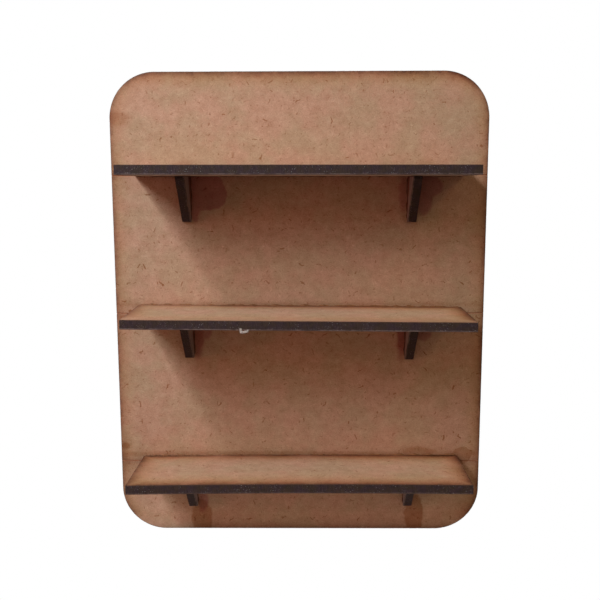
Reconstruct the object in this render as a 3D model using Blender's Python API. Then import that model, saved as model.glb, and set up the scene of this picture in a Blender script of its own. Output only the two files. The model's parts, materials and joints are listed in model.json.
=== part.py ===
"""Paint rack: a rounded back panel with three glued shelves, each on two triangular brackets.

Every piece is cut from one thickness of fibreboard and butt-glued, so nothing moves.

Frame: metres, +Z up, the front faces -Y and +X is the viewer's right. The origin is the middle of
the back panel's rear face, so the plane Y = 0 is the wall.
"""

from math import radians
from typing import NamedTuple

import bmesh
import bpy
from mathutils import Matrix, Vector

BOARD = 0.006  # thickness of every piece
GLUE_GAP = 0.0003  # glue line between two glued faces

PANEL_WIDTH = 0.250
PANEL_HEIGHT = 0.315
PANEL_CORNER_RADIUS = 0.0305
ARC_HANDLE = 0.5523  # Bezier handle of a quarter circle, as a share of its radius
ARC_STEPS = 16  # straight steps in each rounded corner

SHELF_WIDTH = 0.219
SHELF_DEPTH = 0.060

BRACKET_REACH = 0.030  # along the underside of the shelf
BRACKET_DROP = 0.030  # down the panel
BRACKET_BLUNT = 0.002  # flat left on each sharp tip
BRACKET_SPACING = 0.150  # between the centres of a shelf's two brackets

SCORE_WIDTH = 0.0006  # line scored across the panel's front to mark a shelf's place
SCORE_DEPTH = 0.0004
CUTTER_OVERRUN = 0.002  # how far a cutter runs past what it cuts

PANEL_COLOUR = (0.42, 0.24, 0.155)
SHELF_COLOUR = (0.45, 0.265, 0.17)
BRACKET_COLOUR = (0.28, 0.15, 0.09)
BURNT_COLOUR = (0.035, 0.027, 0.026)
FACE_ROUGHNESS = 0.75
BURNT_ROUGHNESS = 0.9
FACE_SLOT = 0  # material slots of every board
BURNT_SLOT = 1

MERGE_DISTANCE = 0.00001


class Level(NamedTuple):
    """One shelf as it was glued by hand. Heights are above the panel's bottom edge."""

    name: str
    top: float  # top of the shelf where it meets the panel, halfway along
    score: float  # middle of the scored line
    droop: float  # degrees by which the right end hangs low
    rise: float  # degrees by which the front edge is turned up


LEVELS = (
    Level("upper", 0.2532, 0.2478, 0.14, 1.1),
    Level("middle", 0.1600, 0.1549, 0.49, 0.1),
    Level("lower", 0.0543, 0.0501, -0.15, 1.5),
)


def clear_scene():
    for obj in list(bpy.data.objects):
        bpy.data.objects.remove(obj, do_unlink=True)


def new_collection(name):
    collection = bpy.data.collections.new(name)
    bpy.context.scene.collection.children.link(collection)
    return collection


def world_height(above_bottom):
    """Z of a height measured from the panel's bottom edge."""
    return above_bottom - PANEL_HEIGHT / 2


# ---------------------------------------------------------------- materials


def principled(name, colour, roughness):
    material = bpy.data.materials.new(name)
    material.use_nodes = True
    shader = material.node_tree.nodes["Principled BSDF"]
    shader.inputs["Base Color"].default_value = (*colour, 1.0)
    shader.inputs["Roughness"].default_value = roughness
    shader.inputs["Metallic"].default_value = 0.0
    return material


def finish_board(board, colour):
    """Colour a board's two faces, and burn the edges round it. Its thickness is local Z."""
    board.data.materials.append(principled(board.name + "_face", colour, FACE_ROUGHNESS))
    board.data.materials.append(principled(board.name + "_burnt", BURNT_COLOUR, BURNT_ROUGHNESS))
    for polygon in board.data.polygons:
        is_face = abs(polygon.normal.z) > 0.5
        polygon.material_index = FACE_SLOT if is_face else BURNT_SLOT


# ------------------------------------------------------------------- shapes


def block(name, size, collection):
    """A box of the given x, y, z size, centred on its own origin."""
    mesh = bpy.data.meshes.new(name)
    shape = bmesh.new()
    bmesh.ops.create_cube(shape, size=1.0, matrix=Matrix.Diagonal((*size, 1.0)))
    shape.to_mesh(mesh)
    shape.free()
    obj = bpy.data.objects.new(name, mesh)
    collection.objects.link(obj)
    return obj


def rounded_rectangle(width, length, radius):
    """Outline with a quarter circle at each corner, as (point, handle in, handle out).

    A handle is an offset from its point, or None where the outline is straight on that side.
    """
    pull = radius * ARC_HANDLE
    outward = Vector((0.0, -1.0))
    outline = []
    for side_x, side_y in ((1, -1), (1, 1), (-1, 1), (-1, -1)):
        centre = Vector((side_x * (width / 2 - radius), side_y * (length / 2 - radius)))
        ahead = Vector((-outward.y, outward.x))
        outline.append((centre + outward * radius, None, ahead * pull))
        outline.append((centre + ahead * radius, outward * pull, None))
        outward = ahead
    return outline


def gusset():
    """Right-angled bracket: the corner at the origin, its reach along +X and its drop along -Y."""
    corners = (
        (0.0, 0.0),
        (0.0, -BRACKET_DROP),
        (BRACKET_BLUNT, -BRACKET_DROP),
        (BRACKET_REACH, -BRACKET_BLUNT),
        (BRACKET_REACH, 0.0),
    )
    return [(Vector(corner), None, None) for corner in corners]


def set_handle(point, side, offset):
    """Aim one side of a Bezier point along an arc, or straight at its neighbour."""
    setattr(point, f"handle_{side}_type", "FREE" if offset else "VECTOR")
    if offset:
        setattr(point, f"handle_{side}", point.co + offset.to_3d())


def outline_curve(name, outline):
    """A closed flat outline in local XY, BOARD thick and centred on local Z."""
    curve = bpy.data.curves.new(name, "CURVE")
    curve.dimensions = "2D"
    curve.fill_mode = "BOTH"
    curve.extrude = BOARD / 2
    curve.resolution_u = ARC_STEPS
    spline = curve.splines.new("BEZIER")
    spline.bezier_points.add(len(outline) - 1)
    spline.use_cyclic_u = True
    for point, (place, handle_in, handle_out) in zip(spline.bezier_points, outline):
        point.co = place.to_3d()
        set_handle(point, "left", handle_in)
        set_handle(point, "right", handle_out)
    drawn = bpy.data.objects.new(name, curve)
    bpy.context.scene.collection.objects.link(drawn)
    return drawn


def outline_board(name, outline, collection):
    """A board cut to an outline: the drawn curve made into one closed mesh."""
    drawn = outline_curve(name + "_outline", outline)
    bpy.context.view_layer.update()
    evaluated = drawn.evaluated_get(bpy.context.evaluated_depsgraph_get())
    mesh = bpy.data.meshes.new_from_object(evaluated)
    mesh.name = name
    shape = bmesh.new()
    shape.from_mesh(mesh)
    bmesh.ops.remove_doubles(shape, verts=shape.verts, dist=MERGE_DISTANCE)
    bmesh.ops.recalc_face_normals(shape, faces=shape.faces)
    shape.to_mesh(mesh)
    shape.free()
    board = bpy.data.objects.new(name, mesh)
    board.matrix_world = drawn.matrix_world
    collection.objects.link(board)
    bpy.data.objects.remove(drawn, do_unlink=True)
    return board


# ------------------------------------------------------------------- pieces


def add_score_line(panel, level, cutters):
    """Cut one straight groove across the whole front of the panel."""
    size = (PANEL_WIDTH + 2 * CUTTER_OVERRUN, SCORE_DEPTH + CUTTER_OVERRUN, SCORE_WIDTH)
    cutter = block(f"{level.name}_score_cutter", size, cutters)
    cutter.location.y = -BOARD + SCORE_DEPTH - size[1] / 2
    cutter.location.z = world_height(level.score)
    cutter.hide_render = True
    cutter.display_type = "WIRE"
    for material in panel.data.materials:
        cutter.data.materials.append(material)
    for polygon in cutter.data.polygons:
        polygon.material_index = BURNT_SLOT
    cut = panel.modifiers.new(f"{level.name}_score", "BOOLEAN")
    cut.operation = "DIFFERENCE"
    cut.solver = "EXACT"
    cut.object = cutter


def build_panel(parts, cutters):
    """The back panel stands on its bottom edge with its rear face on the wall plane."""
    outline = rounded_rectangle(PANEL_WIDTH, PANEL_HEIGHT, PANEL_CORNER_RADIUS)
    panel = outline_board("back_panel", outline, parts)
    panel.rotation_euler.x = radians(90)
    panel.location.y = -BOARD / 2
    finish_board(panel, PANEL_COLOUR)
    for level in LEVELS:
        add_score_line(panel, level, cutters)


def shelf_seat(level, parts):
    """The line where a shelf's top meets the panel, turned as the shelf was glued."""
    seat = bpy.data.objects.new(f"{level.name}_seat", None)
    seat.location = (0.0, -BOARD - GLUE_GAP, world_height(level.top))
    seat.rotation_euler = (radians(-level.rise), radians(level.droop), 0.0)
    parts.objects.link(seat)
    return seat


def build_shelf(level, seat, parts):
    shelf = block(f"{level.name}_shelf", (SHELF_WIDTH, SHELF_DEPTH, BOARD), parts)
    shelf.parent = seat
    shelf.location = (0.0, -SHELF_DEPTH / 2, -BOARD / 2)
    finish_board(shelf, SHELF_COLOUR)


def build_bracket(level, seat, side, direction, parts):
    """One bracket in the corner under a shelf. Its board stands in a vertical fore-and-aft plane."""
    bracket = outline_board(f"{level.name}_{side}_bracket", gusset(), parts)
    bracket.parent = seat
    bracket.location = (direction * BRACKET_SPACING / 2, 0.0, -BOARD - GLUE_GAP)
    bracket.rotation_euler = (radians(90), 0.0, radians(-90))
    finish_board(bracket, BRACKET_COLOUR)


def build_rack():
    clear_scene()
    parts = new_collection("paint_rack")
    cutters = new_collection("cutters")
    build_panel(parts, cutters)
    for level in LEVELS:
        seat = shelf_seat(level, parts)
        build_shelf(level, seat, parts)
        build_bracket(level, seat, "left", -1, parts)
        build_bracket(level, seat, "right", 1, parts)


build_rack()
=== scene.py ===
import json
from math import atan2, cos, hypot, pi, radians, sin
from typing import NamedTuple

import bmesh
import bpy
from mathutils import Matrix, Vector, noise
from mathutils.geometry import delaunay_2d_cdt


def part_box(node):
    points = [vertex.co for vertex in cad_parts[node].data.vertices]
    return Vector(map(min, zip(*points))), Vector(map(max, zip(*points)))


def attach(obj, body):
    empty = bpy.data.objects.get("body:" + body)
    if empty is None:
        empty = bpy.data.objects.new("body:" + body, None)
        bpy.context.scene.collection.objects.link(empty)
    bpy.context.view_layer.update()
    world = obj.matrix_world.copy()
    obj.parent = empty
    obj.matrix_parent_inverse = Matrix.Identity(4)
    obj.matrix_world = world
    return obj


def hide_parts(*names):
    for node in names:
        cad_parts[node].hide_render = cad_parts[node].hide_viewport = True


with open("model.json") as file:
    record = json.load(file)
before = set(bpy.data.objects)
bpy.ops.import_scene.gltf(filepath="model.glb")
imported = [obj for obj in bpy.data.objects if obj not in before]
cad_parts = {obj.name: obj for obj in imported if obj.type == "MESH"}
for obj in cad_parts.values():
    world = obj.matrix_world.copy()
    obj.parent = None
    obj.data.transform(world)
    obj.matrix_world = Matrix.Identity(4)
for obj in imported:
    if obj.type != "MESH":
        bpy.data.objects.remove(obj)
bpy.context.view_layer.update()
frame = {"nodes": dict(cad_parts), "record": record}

# Lengths are in metres, in the imported part's own frame: the wall is Y = 0 and the front faces -Y.
# A board's own axes have its outline in XY and its thickness along Z, with the front face at +Z.
# Materials and dark patches count millimetres on those axes.
MM = 0.001

LEVELS = ("upper", "middle", "lower")
SIDES = ("left", "right")

CORNER_RADIUS = 30.5 * MM  # the back panel's four corners
BRACKET_BLUNT = 2.0 * MM  # flat on each sharp tip of a bracket
LOWER_SHELF_BOW = 0.8 * MM

STATION_STEP = 0.5 * MM  # spacing of the columns round a cut edge
CORNER_STEPS = 90
ARRIS = 0.22 * MM  # rounding where a face meets a cut edge
ARRIS_STEPS = 3
EDGE_ROWS = 7
RIM = 1.2 * MM  # flat ring of face beside the cut edge
FACE_GRID = 9 * MM  # spacing of the vertices inside a face
BRACKET_GRID = 5 * MM
GRID_MARGIN = 1.5 * MM  # room kept between those vertices and a rim or a scored line

STRIATION_DEPTH = 0.07 * MM
STRIATION_LUMP = (0.9 * MM, 9 * MM)  # size of its noise along the edge and through the board
STRIATION_DRAG = 6.0  # how far the striations trail towards the faces
SWELL_LUMP = (4.5 * MM, 5 * MM)
CRUMBLE_DEPTH = 0.35 * MM
CRUMBLE_LUMP = 2.2 * MM
CRUMBLE_LEAST = 0.25  # noise below this leaves the arris whole

SCORE_HEIGHTS = (247.8 * MM, 154.9 * MM, 50.1 * MM)  # above the panel's bottom edge
SCORE_HALF_WIDTH = 0.32 * MM
SCORE_FLOOR_HALF = 0.14 * MM
SCORE_DEPTH = 0.40 * MM
SCORE_WOBBLE = 0.05 * MM
SCORE_LUMP = 6 * MM
SCORE_STEP = 2 * MM  # spacing of the vertices along a scored line
SCORE_MARGIN = 0.5 * MM  # room kept between those and the rim

FACE_SLOT = 0
BURNT_SLOT = 1
SHARP_ANGLE = radians(42)

INSIDE_LOOP = 1  # delaunay_2d_cdt keeps the triangles inside the loop
MERGE_WITHIN = 1e-6


# ------------ places and objects


def extent(points):
    """Lowest and highest corner of the box round some points."""
    axes = range(len(points[0]))
    low = Vector([min(point[axis] for point in points) for axis in axes])
    high = Vector([max(point[axis] for point in points) for axis in axes])
    return low, high


def local_box(node, place):
    """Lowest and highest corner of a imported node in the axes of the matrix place."""
    to_local = place.inverted()
    return extent([to_local @ vertex.co for vertex in frame["nodes"][node].data.vertices])


def axes_matrix(along_x, along_y, along_z):
    return Matrix((along_x, along_y, along_z)).transposed().to_4x4()


def shelf_place(level):
    """Matrix whose origin is the middle of a shelf's top, and whose axes are the shelf's own."""
    mount = next(m for m in frame["record"]["mounts"] if m["name"] == f"{level}_shelf_top")
    up = Vector(mount["axis"]).normalized()
    droop = atan2(up.x, up.z)
    across = Vector((cos(droop), 0.0, -sin(droop)))
    return Matrix.Translation(mount["pos_m"]) @ axes_matrix(across, up.cross(across), up)


def rough(x, y, z):
    return noise.noise(Vector((x, y, z)))


def mesh_data(name, mesh):
    """A finished mesh, which keeps its vertices' own places for the materials to read."""
    data = bpy.data.meshes.new(name)
    mesh.to_mesh(data)
    mesh.free()
    places = data.attributes.new("board", "FLOAT_VECTOR", "POINT")
    flat = [0.0] * (3 * len(data.vertices))
    data.vertices.foreach_get("co", flat)
    places.data.foreach_set("vector", flat)
    return data


def new_object(name, data):
    made = bpy.data.objects.new(name, data)
    bpy.context.scene.collection.objects.link(made)
    return made


# ------------ outlines


class Outline(NamedTuple):
    """A convex outline, anticlockwise."""

    corners: list
    radius: float = 0.0  # of every corner. Only a rectangle centred on the origin has one.


class Board(NamedTuple):
    """One laser-cut board."""

    outline: Outline
    thickness: float
    seed: int
    scores: tuple = ()  # heights of the lines scored across its front face
    bow: float = 0.0  # how far its middle stands above its ends
    grid: float = FACE_GRID


class Station(NamedTuple):
    """One column of a cut edge: where the outline is, which way is out, and how far round."""

    place: Vector
    outward: Vector
    along: float


def rectangle(width, length, radius=0.0):
    x = width / 2
    y = length / 2
    return Outline([Vector(corner) for corner in ((-x, -y), (x, -y), (x, y), (-x, y))], radius)


def edge_distance(point, outline):
    """Distance from a point inside an outline to its edge."""
    corners = outline.corners
    if outline.radius:
        reach = extent(corners)[1]
        past_x = abs(point.x) - (reach.x - outline.radius)
        past_y = abs(point.y) - (reach.y - outline.radius)
        outside = hypot(max(past_x, 0.0), max(past_y, 0.0))
        return outline.radius - outside - min(max(past_x, past_y), 0.0)
    distances = []
    for corner, following in zip(corners, corners[1:] + corners[:1]):
        along = (following - corner).normalized()
        offset = point - corner
        distances.append(along.x * offset.y - along.y * offset.x)
    return min(distances)


def straight_stations(start, end, marks):
    """Points between two ends of a straight stretch, with an extra one at each marked height."""
    count = max(2, round((end - start).length / STATION_STEP))
    shares = {index / count for index in range(1, count)}
    if abs(end.y - start.y) > STATION_STEP:
        for mark in marks:
            share = (mark - start.y) / (end.y - start.y)
            if 0.0 < share < 1.0:
                shares.add(share)
    return [start.lerp(end, share) for share in sorted(shares)]


def outline_stations(outline, marks):
    """Stations anticlockwise round an outline."""
    corners = outline.corners
    radius = outline.radius
    ring = []
    for index, corner in enumerate(corners):
        following = corners[(index + 1) % len(corners)]
        before = (corner - corners[index - 1]).normalized()
        after = (following - corner).normalized()
        out_before = Vector((before.y, -before.x))
        out_after = Vector((after.y, -after.x))
        if radius:
            centre = corner - before * radius - out_before * radius
            for step in range(CORNER_STEPS + 1):
                outward = out_before.slerp(out_after, step / CORNER_STEPS).normalized()
                ring.append((centre + outward * radius, outward))
        else:
            mitre = (out_before + out_after).normalized() / cos(before.angle(after) / 2)
            ring.append((corner, mitre))
        for point in straight_stations(corner + after * radius, following - after * radius, marks):
            ring.append((point, out_after))
    stations = []
    along = 0.0
    for index, (point, outward) in enumerate(ring):
        if index:
            along += (point - ring[index - 1][0]).length
        stations.append(Station(point, outward, along))
    return stations


def edge_profile(thickness):
    """Rows from the front face over the cut edge to the back face, as (inset, depth, exposure)."""
    half = thickness / 2
    front = [(RIM, half, 0.0)]
    for step in range(ARRIS_STEPS + 1):
        share = step / ARRIS_STEPS
        turn = share * pi / 2
        front.append((ARRIS * (1 - sin(turn)), half - ARRIS * (1 - cos(turn)), share))
    flat = half - ARRIS
    middle = [(0.0, flat * (1 - 2 * row / (EDGE_ROWS + 1)), 1.0) for row in range(1, EDGE_ROWS + 1)]
    back = [(inset, -depth, exposure) for inset, depth, exposure in reversed(front)]
    return front + middle + back


# ------------ board meshes


def burn_relief(station, depth, exposure, seed):
    """How far the laser's striations and the crumbled arris cut into a board at one point."""
    trailed = station.along + STRIATION_DRAG * abs(depth) * depth
    fine = rough(trailed / STRIATION_LUMP[0], seed, depth / STRIATION_LUMP[1])
    swell = rough(station.along / SWELL_LUMP[0], seed + 7.0, depth / SWELL_LUMP[1])
    striation = max(0.0, STRIATION_DEPTH * (0.5 + 0.6 * fine + 0.5 * swell))
    side = 3.0 if depth > 0 else -3.0
    crumb = rough(station.along / CRUMBLE_LUMP, seed + side, 11.0)
    near_arris = 1.0 - min(1.0, abs(exposure - 0.66) * 2.0)
    return striation * exposure + max(0.0, crumb - CRUMBLE_LEAST) * CRUMBLE_DEPTH * near_arris


def score_offset(x):
    return SCORE_WOBBLE * rough(x / SCORE_LUMP, 3.7, 0.0)


def score_relief(point, heights):
    """Depth of the scored grooves at a point of a board's front face."""
    deepest = 0.0
    for height in heights:
        distance = abs(point.y - height - score_offset(point.x))
        share = (SCORE_HALF_WIDTH - distance) / (SCORE_HALF_WIDTH - SCORE_FLOOR_HALF)
        deepest = max(deepest, SCORE_DEPTH * min(1.0, max(0.0, share)))
    return deepest


def inner_points(board):
    """A square grid of points inside a board's faces, clear of the rim and the scored lines."""
    low, high = extent(board.outline.corners)
    columns = max(2, round((high.x - low.x) / board.grid))
    rows = max(2, round((high.y - low.y) / board.grid))
    points = []
    for column in range(1, columns):
        for row in range(1, rows):
            share = Vector((column / columns, row / rows))
            x = low.x + (high.x - low.x) * share.x
            y = low.y + (high.y - low.y) * share.y
            point = Vector((x, y))
            clear = all(abs(point.y - score) > GRID_MARGIN for score in board.scores)
            if clear and edge_distance(point, board.outline) > RIM + GRID_MARGIN:
                points.append(point)
    return points


def score_points(board, marks):
    """Points along the shoulders and the floor of each scored groove."""
    reach = extent(board.outline.corners)[1].x
    columns = round(2 * reach / SCORE_STEP)
    points = []
    for mark in marks:
        for column in range(1, columns):
            x = reach * (2 * column / columns - 1)
            point = Vector((x, mark + score_offset(x)))
            if edge_distance(point, board.outline) > RIM + SCORE_MARGIN:
                points.append(point)
    return points


def cut_edge(mesh, board, marks, lift):
    """The rim and the cut edge all round a board: one column of vertices for each station."""
    cut_uv = mesh.loops.layers.uv.new("cut")
    stations = outline_stations(board.outline, marks)
    profile = edge_profile(board.thickness)
    groove_above = board.thickness / 2 - ARRIS * 1.5
    columns = []
    for station in stations:
        column = []
        for inset, depth, exposure in profile:
            inset += burn_relief(station, depth, exposure, board.seed)
            point = station.place - station.outward * inset
            sunk = score_relief(point, board.scores) if depth > groove_above else 0.0
            column.append(mesh.verts.new((point.x, point.y, depth - sunk + lift(point.x))))
        columns.append(column)
    for index, column in enumerate(columns):
        following = (index + 1) % len(columns)
        after = columns[following]
        start = stations[index].along
        end = start + (stations[following].place - stations[index].place).length
        for row in range(len(profile) - 1):
            face = mesh.faces.new((column[row], column[row + 1], after[row + 1], after[row]))
            on_rim = row in (0, len(profile) - 2)
            face.material_index = FACE_SLOT if on_rim else BURNT_SLOT
            face.smooth = True
            spots = ((start, row), (start, row + 1), (end, row + 1), (end, row))
            for corner, (along, level) in zip(face.loops, spots):
                corner[cut_uv].uv = (along, profile[level][1])
    return columns


def fill_face(mesh, ring, points, surface, upward):
    """Triangulate a face inside its ring of vertices. surface gives the height of a new point."""
    flat = [vertex.co.xy / MM for vertex in ring] + [point / MM for point in points]
    loop = [(index, (index + 1) % len(ring)) for index in range(len(ring))]
    places, _, triangles, origins, _, _ = delaunay_2d_cdt(flat, loop, [], INSIDE_LOOP, MERGE_WITHIN)
    vertices = []
    for place, origin in zip(places, origins):
        known = [index for index in origin if index < len(ring)]
        point = place * MM
        vertices.append(ring[known[0]] if known else mesh.verts.new((*point, surface(point))))
    for triangle in triangles:
        corners = [vertices[index] for index in triangle]
        if len(set(corners)) < 3:
            continue
        face = mesh.faces.new(corners if upward else corners[::-1])
        face.material_index = FACE_SLOT
        face.smooth = True


def cut_board(name, board):
    """The mesh of a laser-cut board, centred on Z = 0."""
    half = board.thickness / 2
    reach = extent(board.outline.corners)[1].x
    shoulders = (-SCORE_HALF_WIDTH, -SCORE_FLOOR_HALF, SCORE_FLOOR_HALF, SCORE_HALF_WIDTH)
    marks = [score + offset for score in board.scores for offset in shoulders]

    def lift(x):
        return board.bow * (1 / 3 - (x / reach) ** 2)

    def front(point):
        return half - score_relief(point, board.scores) + lift(point.x)

    def back(point):
        return lift(point.x) - half

    mesh = bmesh.new()
    columns = cut_edge(mesh, board, marks, lift)
    inner = inner_points(board)
    front_inner = inner + score_points(board, marks)
    fill_face(mesh, [column[0] for column in columns], front_inner, front, True)
    fill_face(mesh, [column[-1] for column in columns], inner, back, False)
    data = mesh_data(name, mesh)
    data.set_sharp_from_angle(angle=SHARP_ANGLE)
    return data


# ------------ shader nodes


class Graph:
    """The shader nodes of a material or a world, with short ways to add and join them."""

    def __init__(self, owner):
        self.owner = owner
        owner.use_nodes = True
        self.tree = owner.node_tree
        self.tree.nodes.clear()

    def add(self, kind, inputs=None, **settings):
        node = self.tree.nodes.new("ShaderNode" + kind)
        for key, value in settings.items():
            setattr(node, key, value)
        for key, value in (inputs or {}).items():
            self.feed(node.inputs[key], value)
        return node

    def feed(self, socket, value):
        if isinstance(value, bpy.types.NodeSocket):
            self.tree.links.new(value, socket)
        else:
            socket.default_value = value

    def math(self, operation, *values):
        return self.add("Math", dict(enumerate(values)), operation=operation).outputs[0]

    def fold(self, operation, values):
        result, *others = values
        for value in others:
            result = self.math(operation, result, value)
        return result

    def total(self, *values):
        return self.fold("ADD", values)

    def product(self, *values):
        return self.fold("MULTIPLY", values)

    def vector(self, operation, *values):
        node = self.add("VectorMath", dict(enumerate(values)), operation=operation)
        return node.outputs["Value" if operation in ("DOT_PRODUCT", "LENGTH") else "Vector"]

    def scaled(self, vector, factor):
        return self.add("VectorMath", {0: vector, "Scale": factor}, operation="SCALE").outputs[0]

    def split(self, vector):
        return tuple(self.add("SeparateXYZ", {0: vector}).outputs)

    def join(self, x, y, z=0.0):
        return self.add("CombineXYZ", {0: x, 1: y, 2: z}).outputs[0]

    def noise(self, vector, size, detail=2.0, roughness=0.5):
        """Cloudy noise from 0 to 1 whose lumps are about size across, in the vector's units."""
        return self.noise_node(vector, size, detail, roughness).outputs[0]

    def offsets(self, vector, size, detail, reach):
        """Cloudy offsets to bend a pattern by, up to about half of reach each way."""
        cloudy = self.noise_node(vector, size, detail, 0.5).outputs[1]
        return self.scaled(self.vector("SUBTRACT", cloudy, (0.5, 0.5, 0.5)), reach)

    def noise_node(self, vector, size, detail, roughness):
        inputs = {"Vector": vector, "Scale": 1 / size, "Detail": detail, "Roughness": roughness}
        return self.add("TexNoise", inputs)

    def ease(self, value, low, high, at_low=0.0, at_high=1.0):
        """at_low up to low, at_high from high on, and a smooth step between them."""
        inputs = {"Value": value, 1: low, 2: high, 3: at_low, 4: at_high}
        return self.add("MapRange", inputs, interpolation_type="SMOOTHSTEP").outputs[0]

    def fade(self, value, low, high, strength=1.0):
        """strength up to low, and nothing from high on."""
        return self.ease(value, low, high, strength, 0.0)

    def spread(self, value, at_low, at_high):
        """A straight-line remap of noise, whose values mostly lie between 0.3 and 0.7."""
        inputs = {"Value": value, 1: 0.3, 2: 0.7, 3: at_low, 4: at_high}
        return self.add("MapRange", inputs, clamp=False).outputs[0]

    def mix(self, factor, first, second):
        node = self.add("Mix", {0: factor}, data_type="RGBA")
        for index, value in ((6, first), (7, second)):
            self.feed(node.inputs[index], (*value, 1.0) if isinstance(value, tuple) else value)
        return node.outputs[2]

    def surface(self, colour, roughness, height, relief, specular):
        """Close a material with one Principled surface. relief is the bump's depth in metres."""
        bump = self.add("Bump", {"Strength": 1.0, "Distance": relief, "Height": height})
        inputs = {
            "Base Color": colour,
            "Roughness": roughness,
            "Specular IOR Level": specular,
            "Normal": bump.outputs[0],
        }
        shader = self.add("BsdfPrincipled", inputs)
        self.add("OutputMaterial", {"Surface": shader.outputs[0]})
        return self.owner


def new_material(name):
    return Graph(bpy.data.materials.new(name))


def board_place(graph):
    """A shading point's place on its own board, in millimetres."""
    held = graph.add("Attribute", attribute_name="board")
    return graph.scaled(held.outputs["Vector"], 1 / MM)


# ------------ board faces


class Fibre(NamedTuple):
    """A kind of loose fibre, in millimetres. Each cell of its pattern holds at most one."""

    cell: float
    length: float
    width: float
    chance: float  # luck above this leaves a cell empty
    strength: float = 1.0


class DarkPatch(NamedTuple):
    """A darker patch on the panel's face, in millimetres. Patches stand for soaked glue, scorches and
    painted shade.
    """

    x: float
    y: float
    half_x: float
    half_y: float
    strength: float
    ragged: float = 1.0
    soft: float = 1.2


class Finish(NamedTuple):
    """What the laser, the glue and the workshop left on one kind of board's faces, with the painted
    light and shade laid over them.
    """

    smoke_and_shade: float = 1.0  # strength of the smoke beside the cut edges, which on the shelves is partly painted shade
    spill: float = 1.0  # how much further than on the panel it reaches; the extra reach on the shelves is partly painted shade
    lean: float = 0.0  # extra darkening beside the cut edges for each millimetre towards high X
    head: float = 1.0  # how much stronger or weaker it is at the highest edge
    foot: float = 1.0  # and at the lowest
    bracket: bool = False  # darker towards the wall and paler in front: painted shade in the corner at the wall, painted light in front, with smoke, glue and ash
    ash_and_light: float = 2.0  # millimetres of the back face that carry ash and painted light beside the cut edges
    worn_and_lit: float = 0.0  # share of the front (or, below 0, the back) arris made pale: char rubbed off, and a painted highlight where the arris catches the light
    scores: tuple = ()  # (height on the board, strength of the smoke and painted shade beside it)
    soaks_and_shade: tuple = ()
    scorches_and_shade: tuple = ()


PINK_TAN = (0.523, 0.2865, 0.192)
GREEN_TAN = (0.474, 0.293, 0.185)
BLOTCH_SIZE = 26.0
CLOUD_SIZE = 8.0
GRAIN_SIZE = 0.8
DARK_FIBRES = (
    Fibre(12.0, 4.6, 0.80, 0.45),
    Fibre(7.0, 2.4, 0.75, 0.40, 0.85),
    Fibre(4.5, 1.2, 0.95, 0.40, 0.70),
    Fibre(2.9, 2.0, 0.60, 0.80, 0.38),
)
PALE_FIBRE = Fibre(5.0, 3.0, 0.60, 0.50)
FIBRE_BEND = 2.5
FIBRE_LOSS = (0.40, 0.57, 0.70)  # share of each colour that one full fibre takes away

SMOKE_AND_SHADE_DENSITY = (0.75, 1.00, 1.10)  # how thickly smoke, and on the shelves painted shade, covers each colour right at a cut edge
SMOKE_AND_SHADE_REACH = (2.0, 2.5, 3.2)  # millimetres in which that falls to about a third
END_BAND = (4.0, 14.0)  # millimetres from an end edge over which head or foot fades
SCORE_SMOKE_AND_SHADE_REACH = 4.0
SCORE_BURN = (0.42, 0.17, 0.09)

SHADED_SMOKED_SHARE = 0.40  # share of a bracket's depth, from the wall out, that is dark with smoke and painted shade
SHADED_SMOKED_REAR = (0.36, 0.24, 0.27)
# The paler front of a bracket's face is ash together with painted light.
ASHEN_LIT_TINT = (0.6, 0.8, 1.0)
ASH_AND_LIGHT_FILM = (0.30, 0.235, 0.235)
ASH_AND_LIGHT_FILM_COVER = 0.8
ASH_AND_LIGHT_RIM = (0.50, 0.41, 0.36)
ASH_AND_LIGHT_RIM_COVER = 0.62

# Tints of the scorches and of the soaked glue; both also serve for patches of painted shade.
SCORCH_AND_SHADE = (0.66, 0.46, 0.30)
GLUE_SOAK_AND_SHADE = (0.78, 0.53, 0.62)
GLUE_SHINE = 0.08  # how much smoother soaked board is
DARK_PATCH_WARP = 10.0

FACE_RELIEF = 0.05 * MM
FACE_SPECULAR = 0.16


def outline_distance(graph, place, outline):
    """Millimetres from a place on a board's face to the nearest cut edge."""
    if outline.radius:
        reach = extent(outline.corners)[1]
        inner_x = (reach.x - outline.radius) / MM
        inner_y = (reach.y - outline.radius) / MM
        past = graph.vector("SUBTRACT", graph.vector("ABSOLUTE", place), (inner_x, inner_y, 1000.0))
        past_x, past_y, _ = graph.split(past)
        outside = graph.vector("LENGTH", graph.vector("MAXIMUM", past, (0.0, 0.0, 0.0)))
        within = graph.math("MINIMUM", graph.math("MAXIMUM", past_x, past_y), 0.0)
        return graph.math("SUBTRACT", outline.radius / MM, graph.total(outside, within))
    distances = []
    for corner, following in zip(outline.corners, outline.corners[1:] + outline.corners[:1]):
        along = (following - corner).normalized()
        inward = Vector((-along.y, along.x))
        offset = graph.vector("DOT_PRODUCT", place, (inward.x, inward.y, 0.0))
        distances.append(graph.math("SUBTRACT", offset, inward.dot(corner) / MM))
    return graph.fold("MINIMUM", distances)


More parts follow.
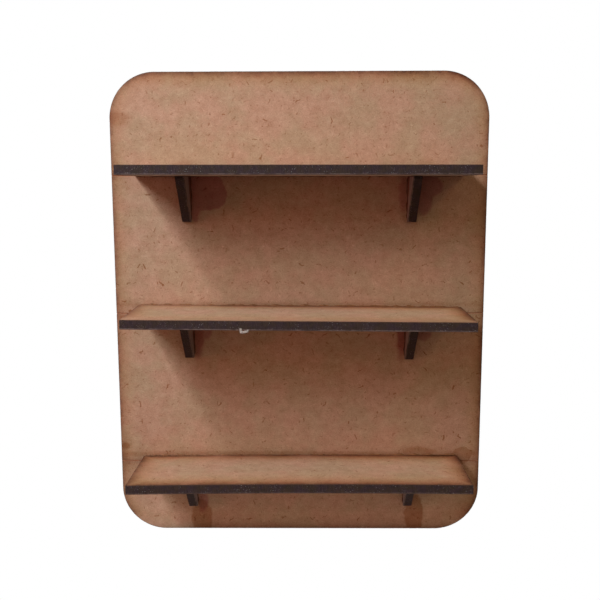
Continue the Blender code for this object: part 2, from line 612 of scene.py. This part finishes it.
def fibre_strokes(graph, place, fibre, seed):
    """Mask of one kind of curved fibre pressed into the face."""
    moved = graph.vector("ADD", place, (seed * 17.3, seed * 9.1, 0.0))
    scattered = graph.scaled(moved, 1 / fibre.cell)
    cells = graph.add("TexVoronoi", {"Vector": scattered, "Scale": 1.0}, voronoi_dimensions="2D")
    offset = graph.vector("SUBTRACT", scattered, cells.outputs["Position"])
    turn, luck, curl = graph.add("SeparateColor", {0: cells.outputs["Color"]}).outputs
    inputs = {"Vector": offset, "Angle": graph.math("MULTIPLY", turn, 2 * pi)}
    turned = graph.add("VectorRotate", inputs, rotation_type="Z_AXIS").outputs[0]
    along, across, _ = graph.split(turned)
    bend = graph.product(graph.math("SUBTRACT", curl, 0.5), FIBRE_BEND)
    curved = graph.math("MULTIPLY_ADD", graph.product(along, along), bend, across)
    half_length = fibre.length / fibre.cell / 2
    half_width = fibre.width / fibre.cell / 2
    taper = graph.fade(graph.math("ABSOLUTE", along), half_length * 0.55, half_length)
    body = graph.fade(graph.math("ABSOLUTE", curved), half_width * 0.5, half_width * 1.3)
    present = graph.fade(luck, 0.0, fibre.chance, fibre.strength)
    return graph.product(taper, body, present)


def dark_patch_mask(graph, place, dark_patches, warp):
    """How strongly the listed patches cover a place: 0 outside them, up to each one's strength."""
    masks = []
    for dark_patch in dark_patches:
        shifted = graph.vector("SUBTRACT", place, (dark_patch.x, dark_patch.y, 0.0))
        bent = graph.vector("ADD", shifted, graph.scaled(warp, dark_patch.ragged))
        shares = graph.vector("MULTIPLY", bent, (1 / dark_patch.half_x, 1 / dark_patch.half_y, 0.0))
        blur = dark_patch.soft / min(dark_patch.half_x, dark_patch.half_y) / 2
        masks.append(graph.fade(graph.vector("LENGTH", shares), 1 - blur, 1 + blur, dark_patch.strength))
    return graph.fold("MAXIMUM", masks)


class BoardFace(Graph):
    """The pressed face of a laser-cut fibreboard, coloured one layer after another."""

    def __init__(self, name, board, finish):
        super().__init__(bpy.data.materials.new(name))
        self.outline = board.outline
        self.seed = board.seed
        self.finish = finish
        self.place = board_place(self)
        self.x, self.y, depth = self.split(self.place)
        side = self.math("SIGN", depth)
        self.on_front = self.math("GREATER_THAN", side, 0.0)
        self.on_back = self.math("LESS_THAN", side, 0.0)
        shift = self.math("MULTIPLY_ADD", side, 61.0, self.seed * 131.7)
        self.texture = self.join(self.total(self.x, shift), self.total(self.y, shift))
        self.grain = self.noise(self.texture, GRAIN_SIZE, 2.0, 0.7)
        self.ragged = self.spread(self.noise(self.texture, 5.0, 3.0, 0.6), 0.8, -0.8)
        self.billow = self.spread(self.noise(self.texture, 16.0), 0.72, 1.28)
        self.to_edge = outline_distance(self, self.place, self.outline)

    def tinted(self, share):
        return self.vector("MULTIPLY", self.colour, share)

    def press_board(self):
        """Blotches, clouds and grain, and the fibres pressed into them."""
        blotch = self.ease(self.noise(self.texture, BLOTCH_SIZE, 3.0, 0.6), 0.36, 0.64)
        self.colour = self.mix(blotch, GREEN_TAN, PINK_TAN)
        cloud = self.spread(self.noise(self.texture, CLOUD_SIZE, 4.0, 0.85), 0.32, -0.32)
        grainy = self.spread(self.grain, 0.26, -0.26)
        swayed = self.vector("ADD", self.texture, self.offsets(self.texture, 3.2, 1.0, 3.0))
        strokes = []
        for number, fibre in enumerate((*DARK_FIBRES, PALE_FIBRE)):
            strokes.append(fibre_strokes(self, swayed, fibre, self.seed + 1 + number))
        *dark, self.pale = strokes
        self.dark = self.fold("MAXIMUM", dark)
        fibres = self.total(cloud, grainy, self.product(self.dark, 0.95))
        fibres = self.math("MULTIPLY_ADD", self.pale, -0.32, fibres)
        left = [self.math("MULTIPLY_ADD", fibres, -loss, 1.0) for loss in FIBRE_LOSS]
        self.colour = self.tinted(self.join(*left))

    def smoke_and_shade(self, away, strength):
        """Darken the face, given how many millimetres away the laser cut is."""
        away = self.math("MAXIMUM", away, 0.0)
        left = []
        for density, reach in zip(SMOKE_AND_SHADE_DENSITY, SMOKE_AND_SHADE_REACH):
            fading = self.math("EXPONENT", self.product(away, -1 / reach))
            left.append(self.math("EXPONENT", self.product(fading, strength, -density)))
        self.colour = self.tinted(self.join(*left))

    def smoke_and_shade_edges(self):
        finish = self.finish
        low, high = extent(self.outline.corners)
        from_top = self.math("SUBTRACT", high.y / MM, self.y)
        from_bottom = self.math("SUBTRACT", self.y, low.y / MM)
        strength = self.product(
            self.billow,
            self.math("MULTIPLY_ADD", self.x, finish.lean, finish.smoke_and_shade),
            self.ease(from_top, *END_BAND, finish.head, 1.0),
            self.ease(from_bottom, *END_BAND, finish.foot, 1.0),
        )
        away = self.product(self.total(self.to_edge, self.ragged), 1 / finish.spill)
        self.smoke_and_shade(away, strength)

    def from_score(self, height):
        """Millimetres up or down the board from a scored line."""
        return self.math("ABSOLUTE", self.math("SUBTRACT", self.y, height / MM))

    def smoke_and_shade_scores(self):
        for height, darkening in self.finish.scores:
            away = self.total(self.from_score(height), self.ragged)
            away = self.product(away, SMOKE_AND_SHADE_REACH[1] / SCORE_SMOKE_AND_SHADE_REACH)
            self.smoke_and_shade(away, self.product(self.billow, self.on_front, darkening))

    def char_scores(self):
        distances = [self.from_score(height) for height, _ in self.finish.scores]
        nearest = self.fold("MINIMUM", distances)
        groove = self.product(self.fade(nearest, 0.24, 0.46), self.on_front)
        self.colour = self.mix(groove, self.colour, SCORE_BURN)

    def smoke_and_shade_bracket(self):
        """Dark towards the wall, where smoke and glue soaked in and painted shade fills the corner
        against the panel, and paler in front, with ash and painted light.
        """
        reach = extent(self.outline.corners)[1].x / MM
        seam = self.math("MULTIPLY_ADD", self.total(self.y, reach), -SHADED_SMOKED_SHARE, self.x)
        in_front = self.ease(self.total(seam, self.ragged), -1.5, 1.5)
        ash_and_light = self.mix(ASH_AND_LIGHT_FILM_COVER, self.tinted(ASHEN_LIT_TINT), ASH_AND_LIGHT_FILM)
        self.colour = self.mix(in_front, self.tinted(SHADED_SMOKED_REAR), ash_and_light)

    def ash_and_light_back(self):
        """Ash from the laser's bed on the back face, beside the cut edges. Spread over the upper
        shelf's underside, it is painted light from below.
        """
        reach = self.finish.ash_and_light
        to_rim = self.total(self.to_edge, self.spread(self.grain, 0.2, -0.2))
        ash_and_light = self.fade(to_rim, reach * 0.7, reach * 1.3, ASH_AND_LIGHT_RIM_COVER)
        self.colour = self.mix(self.product(ash_and_light, self.on_back), self.colour, ASH_AND_LIGHT_RIM)

    def dark_patch(self):
        """Scorch marks, soaked-in glue and painted shade on the front face."""
        self.roughness = self.spread(self.noise(self.texture, 7.0), 0.58, 0.72)
        warp = self.offsets(self.texture, 6.5, 1.2, DARK_PATCH_WARP)
        kinds = ((self.finish.scorches_and_shade, SCORCH_AND_SHADE, 0.0), (self.finish.soaks_and_shade, GLUE_SOAK_AND_SHADE, GLUE_SHINE))
        for patches, tint, shine in kinds:
            if patches:
                mask = self.product(dark_patch_mask(self, self.place, patches, warp), self.on_front)
                self.colour = self.mix(mask, self.colour, self.tinted(tint))
                self.roughness = self.math("MULTIPLY_ADD", mask, -shine, self.roughness)

    def close(self):
        height = self.total(
            self.product(self.grain, 0.5),
            self.product(self.noise(self.texture, 1.6), 0.5),
            self.product(self.dark, -0.35),
            self.product(self.pale, 0.30),
        )
        return self.surface(self.colour, self.roughness, height, FACE_RELIEF, FACE_SPECULAR)


def fibreboard(name, board, finish):
    """The material of a board's two faces."""
    face = BoardFace(name, board, finish)
    face.press_board()
    face.smoke_and_shade_edges()
    face.smoke_and_shade_scores()
    if finish.bracket:
        face.smoke_and_shade_bracket()
    else:
        face.ash_and_light_back()
    if finish.scores:
        face.char_scores()
    face.dark_patch()
    return face.close()


# ------------ cut edges


CHAR_PURPLE = (0.043, 0.0235, 0.0275)
CHAR_BROWN = (0.045, 0.0255, 0.0195)
ARRIS_BROWN = (0.075, 0.036, 0.023)
ARRIS_COVER = 0.75
ASH = (0.40, 0.38, 0.37)
ASH_COVER = 0.60
PALE_LIT_ARRIS = (0.30, 0.21, 0.19)
STREAK_WIDTH = 0.75
STREAK_LEAN = 0.12
STREAK_SQUEEZE = 0.10  # makes the streaks ten times as long as they are wide
CHAR_RELIEF = 0.12 * MM
CHAR_SPECULAR = 0.22


def burnt_edge(name, board, worn_and_lit):
    """The charred side of a laser cut: upright striations, brown arrises and specks of ash, and a
    pale arris that is partly a painted highlight.
    """
    graph = new_material(name)
    run = graph.scaled(graph.add("UVMap", uv_map="cut").outputs[0], 1 / MM)
    along, depth, _ = graph.split(run)
    half = board.thickness / MM / 2
    moved = graph.total(along, board.seed * 57.1)
    texture = graph.join(moved, depth)
    leaning = graph.math("MULTIPLY_ADD", depth, STREAK_LEAN, moved)
    streaked = graph.join(leaning, graph.product(depth, STREAK_SQUEEZE))
    streaks = graph.noise(streaked, STREAK_WIDTH, 3.0, 0.65)
    soot = graph.noise(texture, 2.4, 3.0, 0.6)
    ragged = graph.noise(texture, 1.8)

    brownness = graph.ease(graph.noise(texture, 7.0, 3.0, 0.6), 0.38, 0.62)
    tone = graph.product(graph.spread(streaks, 0.66, 1.34), graph.spread(soot, 0.78, 1.22))
    colour = graph.scaled(graph.mix(brownness, CHAR_PURPLE, CHAR_BROWN), tone)

    to_arris = graph.math("SUBTRACT", half, graph.math("ABSOLUTE", depth))
    to_arris = graph.total(to_arris, graph.spread(ragged, 0.25, -0.25))
    colour = graph.mix(graph.fade(to_arris, 0.05, 0.75, ARRIS_COVER), colour, ARRIS_BROWN)

    dusty = graph.ease(graph.noise(texture, 16.0), 0.42, 0.60, 0.15, 1.0)
    specks = graph.ease(graph.noise(texture, 0.70, 1.0), 0.65, 0.73, 0.0, ASH_COVER)
    colour = graph.mix(graph.product(dusty, specks), colour, ASH)

    if worn_and_lit:
        towards = graph.product(depth, 1.0 if worn_and_lit > 0 else -1.0)
        from_face = graph.math("SUBTRACT", half, towards)
        from_face = graph.total(from_face, graph.spread(ragged, 0.3, -0.3))
        patchy = graph.ease(graph.noise(texture, 9.0), 0.36, 0.52, 0.35, 1.0)
        rubbed_and_lit = graph.product(graph.fade(from_face, 0.55, 1.05, abs(worn_and_lit)), patchy)
        colour = graph.mix(rubbed_and_lit, colour, PALE_LIT_ARRIS)

    roughness = graph.spread(soot, 0.60, 0.85)
    height = graph.total(graph.product(streaks, 0.7), graph.product(soot, 0.5))
    return graph.surface(colour, roughness, height, CHAR_RELIEF, CHAR_SPECULAR)


# ------------ glue


BEAD_SIZE = 0.75 * MM  # a bead's usual reach from its corner
BEAD_LEAST = 0.06 * MM
BEAD_STEP = 0.5 * MM
BEAD_ARC = 5  # steps across a bead
BEAD_HOLLOW = 0.30
BEAD_SUNK = 0.05 * MM  # how deep a bead is sunk into its boards
BEAD_LUMP = 5 * MM
BEAD_RIPPLE = 1.6 * MM
BEAD_TAPER = 3  # steps in which its ends thin out
BEAD_APART = 0.5 * MM  # how far the beads beside a bracket stay from the corner they share

GLUE_BROWN = (0.120, 0.050, 0.024)
JOINT_BROWN = (0.250, 0.100, 0.042)
GLUE_RELIEF = 0.08 * MM
GLUE_SPECULAR = 0.25

LEFT = Vector((-1, 0, 0))
RIGHT = Vector((1, 0, 0))
FORWARD = Vector((0, -1, 0))
UP = Vector((0, 0, 1))
DOWN = Vector((0, 0, -1))


def dried_glue(name, colour, seed):
    graph = new_material(name)
    place = graph.vector("ADD", board_place(graph), (seed * 13.0, 0.0, 0.0))
    tone = graph.spread(graph.noise(place, 2.5, 3.0, 0.6), 0.7, 1.3)
    roughness = graph.spread(graph.noise(place, 1.2), 0.40, 0.62)
    relief = graph.noise(place, 0.8)
    return graph.surface(graph.scaled(colour, tone), roughness, relief, GLUE_RELIEF, GLUE_SPECULAR)


def bead_ring(mesh, spot, side_a, side_b, reach):
    """One cross-section of a bead: a hollow fillet, sunk a little into both boards."""
    ring = [mesh.verts.new(spot - (side_a + side_b) * BEAD_SUNK)]
    for step in range(BEAD_ARC + 1):
        turn = step / BEAD_ARC * pi / 2
        hollow = 1 - BEAD_HOLLOW * sin(2 * turn)
        point = spot + (side_a * cos(turn) + side_b * sin(turn)) * reach * hollow
        if step == 0:
            point -= side_b * BEAD_SUNK
        if step == BEAD_ARC:
            point -= side_a * BEAD_SUNK
        ring.append(mesh.verts.new(point))
    return ring


def bead_of_glue(mesh, start, end, side_a, side_b, size, seed):
    """A ragged fillet run into the corner between two boards, from start to end."""
    length = (end - start).length
    count = max(4, round(length / BEAD_STEP))
    rings = []
    for index in range(count + 1):
        share = index / count
        swell = rough(share * length / BEAD_LUMP, seed, 0.3)
        ripple = rough(share * length / BEAD_RIPPLE, seed, 4.3)
        fade = min(1.0, min(share, 1 - share) * count / BEAD_TAPER)
        reach = size * max(0.12, 0.55 + 0.9 * swell + 0.3 * ripple) * fade
        spot = start.lerp(end, share)
        rings.append(bead_ring(mesh, spot, side_a, side_b, max(reach, BEAD_LEAST)))
    around = len(rings[0])
    for here, after in zip(rings, rings[1:]):
        for index in range(around):
            following = (index + 1) % around
            mesh.faces.new((here[index], here[following], after[following], after[index]))
    mesh.faces.new(rings[0][::-1])
    mesh.faces.new(rings[-1])


def add_small_piece(name, mesh, place, colour, seed):
    """Finish a bead of glue or a scrap, whose mesh is on the axes of place."""
    bmesh.ops.recalc_face_normals(mesh, faces=mesh.faces)
    for face in mesh.faces:
        face.smooth = True
    data = mesh_data(name, mesh)
    data.materials.append(dried_glue(f"{name}_finish", colour, seed))
    piece = new_object(name, data)
    piece.matrix_world = place
    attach(piece, "root")


def bracket_beads(mesh, low, high, seed):
    """Glue down both sides of a bracket, along the panel and along the shelf."""
    for number, (x, away) in enumerate(((low.x, LEFT), (high.x, RIGHT))):
        corner = Vector((x, high.y, high.z))
        start = corner + DOWN * BEAD_APART
        end = Vector((x, high.y, low.z + 1.5 * MM))
        bead_of_glue(mesh, start, end, away, FORWARD, BEAD_SIZE, seed + number)
        start = corner + FORWARD * BEAD_APART
        end = Vector((x, low.y + 2 * MM, high.z))
        bead_of_glue(mesh, start, end, away, DOWN, BEAD_SIZE * 0.8, seed + number + 10)


def shelf_glue(level, seed):
    """Squeezed-out glue of one shelf: round its brackets, under it and along its top."""
    place = shelf_place(level)
    low, high = local_box(f"{level}_shelf", place)
    left_end = low.x + 1 * MM
    right_end = high.x - 1 * MM
    mesh = bmesh.new()
    clear_from = left_end
    stretches = []
    for index, side in enumerate(SIDES):
        bracket_low, bracket_high = local_box(f"{level}_{side}_bracket", place)
        bracket_beads(mesh, bracket_low, bracket_high, seed + index * 2)
        stretches.append((clear_from, bracket_low.x))
        clear_from = bracket_high.x
    stretches.append((clear_from, right_end))
    for index, (left, right) in enumerate(stretches):
        start = Vector((left, high.y, low.z))
        end = Vector((right, high.y, low.z))
        bead_of_glue(mesh, start, end, FORWARD, DOWN, BEAD_SIZE * 0.6, seed + 30 + index)
    add_small_piece(f"{level}_glue", mesh, place, GLUE_BROWN, seed)

    joint = bmesh.new()
    start = Vector((left_end, high.y, high.z))
    end = Vector((right_end, high.y, high.z))
    bead_of_glue(joint, start, end, FORWARD, UP, BEAD_SIZE * 1.3, seed + 35)
    add_small_piece(f"{level}_joint_glue", joint, place, JOINT_BROWN, seed + 5)


# ------------ the torn flake


FLAKE_STROKES = (  # an L, in millimetres along the shelf and above its lower face
    ((-35.2, 1.3), (-35.15, 0.4), (-35.0, -0.6), (-34.9, -1.5)),
    ((-35.2, -1.0), (-33.7, -1.05), (-32.2, -0.8), (-30.4, -0.2)),
)
FLAKE_PIECES = 6  # rows in each stretch of a stroke
FLAKE_COLUMNS = (-1.0, -0.4, 0.4, 1.0)  # across a stroke, as shares of its half width
FLAKE_HALF_WIDTH = 0.75 * MM
FLAKE_RAGGED = 0.18 * MM
FLAKE_CURL = 0.22 * MM
FLAKE_CURL_LUMP = 1.4 * MM
FLAKE_STAND_OFF = 0.02 * MM
FLAKE_THICKNESS = 0.15 * MM
FLAKE_PALE = (0.46, 0.38, 0.34)


def refine(points, pieces):
    """The same path with each stretch cut into pieces."""
    path = []
    for start, end in zip(points, points[1:]):
        for step in range(pieces):
            share = step / pieces
            path.append([low + (high - low) * share for low, high in zip(start, end)])
    return path + [points[-1]]


def flake_row(corner, spot, index, number, seed):
    """(under point, over point) pairs across a stroke of the flake. Number 0 is the upright."""
    wide = FLAKE_HALF_WIDTH * (1 + 0.35 * rough(index * 0.4, seed, number))
    if index == 0:
        wide *= 0.6
    row = []
    for across in FLAKE_COLUMNS:
        ragged = FLAKE_RAGGED * rough(index * 0.9, across * 2, seed + number)
        place = [spot[0] * MM, corner.z + spot[1] * MM]
        place[number] += across * wide + ragged
        x, z = place
        lump = abs(rough(x / FLAKE_CURL_LUMP, z / FLAKE_CURL_LUMP, seed))
        y = corner.y - (FLAKE_STAND_OFF + FLAKE_CURL * lump)
        row.append((Vector((x, y, z)), Vector((x, y - FLAKE_THICKNESS, z))))
    return row


def add_sheet(mesh, rows):
    """A thin closed sheet from rows of (under point, over point) pairs."""
    under = [[mesh.verts.new(pair[0]) for pair in row] for row in rows]
    over = [[mesh.verts.new(pair[1]) for pair in row] for row in rows]
    last_row = len(rows) - 1
    last_column = len(rows[0]) - 1
    for row in range(last_row):
        for column in range(last_column):
            square = [(row, column), (row, column + 1), (row + 1, column + 1), (row + 1, column)]
            mesh.faces.new([over[i][j] for i, j in square])
            mesh.faces.new([under[i][j] for i, j in reversed(square)])
    rim = [(0, column) for column in range(last_column)]
    rim += [(row, last_column) for row in range(last_row)]
    rim += [(last_row, column) for column in range(last_column, 0, -1)]
    rim += [(row, 0) for row in range(last_row, 0, -1)]
    for (i, j), (k, m) in zip(rim, rim[1:] + rim[:1]):
        mesh.faces.new((over[i][j], under[i][j], under[k][m], over[k][m]))


def torn_flake(seed):
    """An L-shaped scrap of pale paper stuck on the lower front arris of the middle shelf."""
    place = shelf_place("middle")
    corner, _ = local_box("middle_shelf", place)
    mesh = bmesh.new()
    for number, stroke in enumerate(FLAKE_STROKES):
        path = refine(stroke, FLAKE_PIECES)
        rows = [flake_row(corner, spot, index, number, seed) for index, spot in enumerate(path)]
        add_sheet(mesh, rows)
    add_small_piece("torn_flake", mesh, place, FLAKE_PALE, seed)


# ------------ the rack


# Glue soaked into the panel. The narrow patches that hug the brackets are partly painted shade, where
# each bracket meets the panel under its shelf.
PANEL_SOAKS_AND_SHADE = (
    DarkPatch(-62, 78.5, 14, 12, 1, 0.5),
    DarkPatch(-70, 69, 4, 10, 1, 0.6),
    DarkPatch(-72, 84, 6, 8, 1, 0.4, 1.5),
    DarkPatch(86, 83, 9.5, 7.5, 1, 0.4, 2.2),
    DarkPatch(83, 75, 6, 11, 1, 0.4, 2.2),
    DarkPatch(69.5, 78, 3, 12, 0.7, 0.4, 2),
    DarkPatch(-65.5, -12, 6.5, 9.5, 0.95, 0.5, 2.5),
    DarkPatch(-70, -17, 4.6, 17, 1, 0.4, 2.5),
    DarkPatch(69.6, -17, 3.4, 16, 1, 0.4, 2.5),
    DarkPatch(84, -14.5, 7, 7.5, 0.9, 0.5, 2.5),
    DarkPatch(-68.5, -138, 3.8, 7, 0.85, 0.3, 2),
)
# Scorches on the panel; some of them are painted shade, marked below.
PANEL_SCORCHES_AND_SHADE = (
    DarkPatch(-121.5, 127.5, 10, 5, 0.50, 0.4, 4.5),
    DarkPatch(-77, 98, 7, 2.5, 0.22, 0.5, 3),
    DarkPatch(84, 99, 6, 2.5, 0.28, 0.6, 3),
    DarkPatch(-118.5, -5.5, 5, 1.8, 0.65, 0.4, 2),
    DarkPatch(-115.5, -1.2, 1.3, 0.8, 0.9, 0.2, 0.8),
    DarkPatch(-122.5, -96.5, 3.4, 2.4, 0.75, 0.4, 2.5),
    # Beside the middle brackets: painted shade over smoke.
    DarkPatch(-70.6, -17, 4.4, 16, 0.45, 0.4, 2.5),
    DarkPatch(69.6, -17, 3.4, 15, 0.45, 0.4, 2.5),
    DarkPatch(83, -101, 12, 3.8, 0.55, 0.5, 2),
    DarkPatch(113, -103.5, 7, 6, 0.60, 0.5, 0.8),
    DarkPatch(-69.5, -149, 7.2, 13, 0.75, 0.4, 1.5),
    DarkPatch(80, -147, 6.6, 15, 0.80, 0.4, 1.5),
    # Long bands along the tops of the middle and lower shelves: painted shade in the corner where
    # shelf meets panel, over smoke.
    DarkPatch(0, 3.4, 150, 1.5, 0.40, 0.12, 2.4),
    DarkPatch(0, -102.4, 150, 1.7, 0.50, 0.12, 2.6),
)
# Smoke beside the scored lines, which also stands as painted shade on the panel just above the
# shelves' joints.
SCORE_SMOKE_AND_SHADE = (0.22, 0.25, 0.45)
PANEL_FINISH = Finish(
    smoke_and_shade=1.08, lean=0.0007, head=1.5, foot=0.0, soaks_and_shade=PANEL_SOAKS_AND_SHADE, scorches_and_shade=PANEL_SCORCHES_AND_SHADE
)
# On the shelves the darkening beside the edges is smoke and, in part, painted shade, most of all
# along the back next to the panel; their pale lower arris is partly a painted highlight, lit from
# below.
SHELF_FINISHES = {
    "upper": Finish(smoke_and_shade=1.5, spill=1.7, ash_and_light=60.0, worn_and_lit=-0.3),
    "middle": Finish(smoke_and_shade=1.5, spill=1.7, head=1.2, foot=0.35, lean=0.004, worn_and_lit=-0.4),
    "lower": Finish(smoke_and_shade=1.6, spill=1.7, head=1.2, lean=0.001, worn_and_lit=-0.2),
}
# On the brackets the pale arris lies on the inner side, partly a painted highlight where light
# catches it.
BRACKET_FINISHES = {
    "left": Finish(bracket=True, worn_and_lit=-0.3),
    "right": Finish(bracket=True, worn_and_lit=0.4),
}


def add_board(name, board, place, node, finish):
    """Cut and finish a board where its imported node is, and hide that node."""
    data = cut_board(name, board)
    data.materials.append(fibreboard(f"{name}_face", board, finish))
    data.materials.append(burnt_edge(f"{name}_cut", board, finish.worn_and_lit))
    made = new_object(name, data)
    made.matrix_world = place
    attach(made, "root")
    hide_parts(node)


def build_panel(seed):
    axes = axes_matrix((1, 0, 0), (0, 0, 1), (0, -1, 0))
    low, high = local_box("back_panel", axes)
    size = high - low
    place = axes @ Matrix.Translation((low + high) / 2)
    scores = tuple(height - size.y / 2 for height in SCORE_HEIGHTS)
    board = Board(rectangle(size.x, size.y, CORNER_RADIUS), size.z, seed, scores)
    finish = PANEL_FINISH._replace(scores=tuple(zip(scores, SCORE_SMOKE_AND_SHADE)))
    add_board("panel_board", board, place, "back_panel", finish)


def build_shelf(level, seed):
    node = f"{level}_shelf"
    seat = shelf_place(level)
    low, high = local_box(node, seat)
    size = high - low
    bow = LOWER_SHELF_BOW if level == "lower" else 0.0
    board = Board(rectangle(size.x, size.y), size.z, seed, bow=bow)
    place = seat @ Matrix.Translation((low + high) / 2)
    add_board(f"{node}_board", board, place, node, SHELF_FINISHES[level])


def build_bracket(level, side, seed):
    """One bracket. Its own axes start in its square corner: X leads out from the wall, Y up."""
    node = f"{level}_{side}_bracket"
    seat = shelf_place(level)
    low, high = local_box(node, seat)
    thickness, reach, drop = high - low
    corners = ((0, 0), (0, -drop), (BRACKET_BLUNT, -drop), (reach, -BRACKET_BLUNT), (reach, 0))
    outline = Outline([Vector(corner) for corner in corners])
    board = Board(outline, thickness, seed, grid=BRACKET_GRID)
    square_corner = Vector(((low.x + high.x) / 2, high.y, high.z))
    axes = axes_matrix((0, -1, 0), (0, 0, 1), (-1, 0, 0))
    place = seat @ Matrix.Translation(square_corner) @ axes
    add_board(f"{node}_board", board, place, node, BRACKET_FINISHES[side])


def build_rack():
    build_panel(1)
    for number, level in enumerate(LEVELS):
        build_shelf(level, 3 + number)
        for side_number, side in enumerate(SIDES):
            build_bracket(level, side, 11 + 2 * number + side_number)
        shelf_glue(level, 50 + 40 * number)
    torn_flake(5)


# ------------ floor, light and camera


FLOOR_SIZE = 6.0
FLOOR_GAP = 0.3 * MM  # the floor lies this far under the rack
FLOOR_BOUNCE = (0.06, 0.06, 0.06, 1.0)  # low: the table lamps stand in for what it throws back
WHITE = (1.0, 1.0, 1.0, 1.0)


def build_floor():
    """White paper to the camera, and nothing at all from below."""
    mesh = bmesh.new()
    bmesh.ops.create_grid(mesh, x_segments=1, y_segments=1, size=FLOOR_SIZE / 2)
    floor = new_object("floor", mesh_data("floor", mesh))
    floor.location.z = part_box("back_panel")[0].z - FLOOR_GAP
    graph = new_material("floor_white")
    seen = graph.add("LightPath").outputs["Is Camera Ray"]
    from_below = graph.add("NewGeometry").outputs["Backfacing"]
    paper = graph.add("BsdfDiffuse", {"Color": FLOOR_BOUNCE})
    glow = graph.add("Emission", {"Color": WHITE, "Strength": 1.0})
    clear = graph.add("BsdfTransparent")
    lit = graph.add("MixShader", {0: seen, 1: paper.outputs[0], 2: glow.outputs[0]})
    mixed = graph.add("MixShader", {0: from_below, 1: lit.outputs[0], 2: clear.outputs[0]})
    graph.add("OutputMaterial", {"Surface": mixed.outputs[0]})
    floor.data.materials.append(graph.owner)


RACK_MIDDLE = (0.0, -0.03, 0.0)


class Lamp(NamedTuple):
    """A rectangular studio light facing a point on the rack."""

    name: str
    place: tuple
    width: float
    height: float
    watts: float
    colour: tuple
    aim: tuple = RACK_MIDDLE
    roll: float = 0.0  # degrees


def placed(bearing, elevation, distance):
    """A place so many degrees left of straight ahead and above the horizon, as seen by the rack."""
    turn = radians(bearing)
    rise = radians(elevation)
    level = distance * cos(rise)
    return (-level * sin(turn), RACK_MIDDLE[1] - level * cos(turn), distance * sin(rise))


KEY_FOOT = (37.6, 28.1)  # bearing and elevation of the key light's lowest panel
KEY_STEP = (4.7, 6.5)  # and how far each panel lies from the one before
KEY_DISTANCE = 1.06
KEY_ROLL = 28.8
KEY_PANEL_HEIGHT = 0.14
KEY_COLOUR = (0.813, 0.925, 1.0)
KEY_PANELS = (  # name, width and watts
    ("key_foot", 0.115, 1.13),
    ("key_low", 0.26, 2.74),
    ("key_middle", 0.18, 2.69),
    ("key_high", 0.115, 4.5),
)
OVER = 1.0  # height of the places that the table lamps face, straight above them
FILL_LAMPS = (
    Lamp("low_left", placed(72, 5, 1.1), 0.30, 0.40, 1.85, (1.0, 0.38, 0.30)),
    Lamp("high_right", placed(-70, 45, 1.1), 0.20, 0.20, 1.08, (1.0, 0.74, 0.30)),
    Lamp("right_fill", placed(-28.8, 22.2, 1.15), 0.08, 0.08, 0.28, (1.0, 0.80, 0.65)),
    Lamp("low_front", (0, -0.45, -0.11), 0.50, 0.07, 0.08, (1.0, 0.40, 0.34), (0, 0, -0.14)),
    Lamp("table_near", (0, -0.036, -0.1565), 0.24, 0.05, 0.018, (1.0, 0.89, 0.80), (0, -0.036, OVER)),
    Lamp("table_front", (0, -0.18, -0.155), 0.30, 0.14, 0.060, (1.0, 0.88, 0.62), (0, -0.18, OVER)),
    Lamp("behind", placed(180, 30, 1.2), 0.40, 0.40, 7.0, (1.0, 0.95, 0.90)),
)
AMBIENT = 0.205
AMBIENT_COLOUR = (1.0, 0.94, 0.68, 1.0)


def key_lamps():
    """The key light: four panels up a slanted line."""
    lamps = []
    for number, (name, width, watts) in enumerate(KEY_PANELS):
        bearing, elevation = (foot + number * step for foot, step in zip(KEY_FOOT, KEY_STEP))
        place = placed(bearing, elevation, KEY_DISTANCE)
        lamps.append(Lamp(name, place, width, KEY_PANEL_HEIGHT, watts, KEY_COLOUR, roll=KEY_ROLL))
    return lamps


def add_lamp(lamp):
    light = bpy.data.lights.new(lamp.name, "AREA")
    light.shape = "RECTANGLE"
    light.size = lamp.width
    light.size_y = lamp.height
    light.energy = lamp.watts
    light.color = lamp.colour
    holder = new_object(lamp.name, light)
    holder.location = lamp.place
    facing = (Vector(lamp.aim) - holder.location).to_track_quat("-Z", "Y").to_matrix()
    holder.rotation_euler = (facing @ Matrix.Rotation(radians(lamp.roll), 3, "Z")).to_euler()
    holder.visible_camera = False


def build_world():
    """White behind the rack, but only a little light from all round it."""
    graph = Graph(bpy.data.worlds.new("studio"))
    seen = graph.add("LightPath").outputs["Is Camera Ray"]
    dim = graph.add("Background", {"Color": AMBIENT_COLOUR, "Strength": AMBIENT})
    bright = graph.add("Background", {"Color": WHITE, "Strength": 1.0})
    mixed = graph.add("MixShader", {0: seen, 1: dim.outputs[0], 2: bright.outputs[0]})
    graph.add("OutputWorld", {"Surface": mixed.outputs[0]})
    bpy.context.scene.world = graph.owner


CAMERA_PLACE = (0.0064, -0.5657, 0.0930)
CAMERA_BEARING = 0.622  # degrees
CAMERA_PITCH = -8.792
CAMERA_ROLL = -0.168


def build_camera():
    camera = bpy.data.cameras.new("view")
    camera.lens = 50.0
    camera.sensor_width = 36.0
    camera.clip_start = 0.01
    holder = new_object("view", camera)
    holder.matrix_world = (
        Matrix.Translation(CAMERA_PLACE)
        @ Matrix.Rotation(radians(CAMERA_BEARING), 4, "Z")
        @ Matrix.Rotation(radians(90 + CAMERA_PITCH), 4, "X")
        @ Matrix.Rotation(radians(CAMERA_ROLL), 4, "Z")
    )
    bpy.context.scene.camera = holder


build_rack()
build_floor()
for studio_lamp in (*key_lamps(), *FILL_LAMPS):
    add_lamp(studio_lamp)
build_world()
build_camera()
bpy.context.scene.view_settings.view_transform = "Standard"
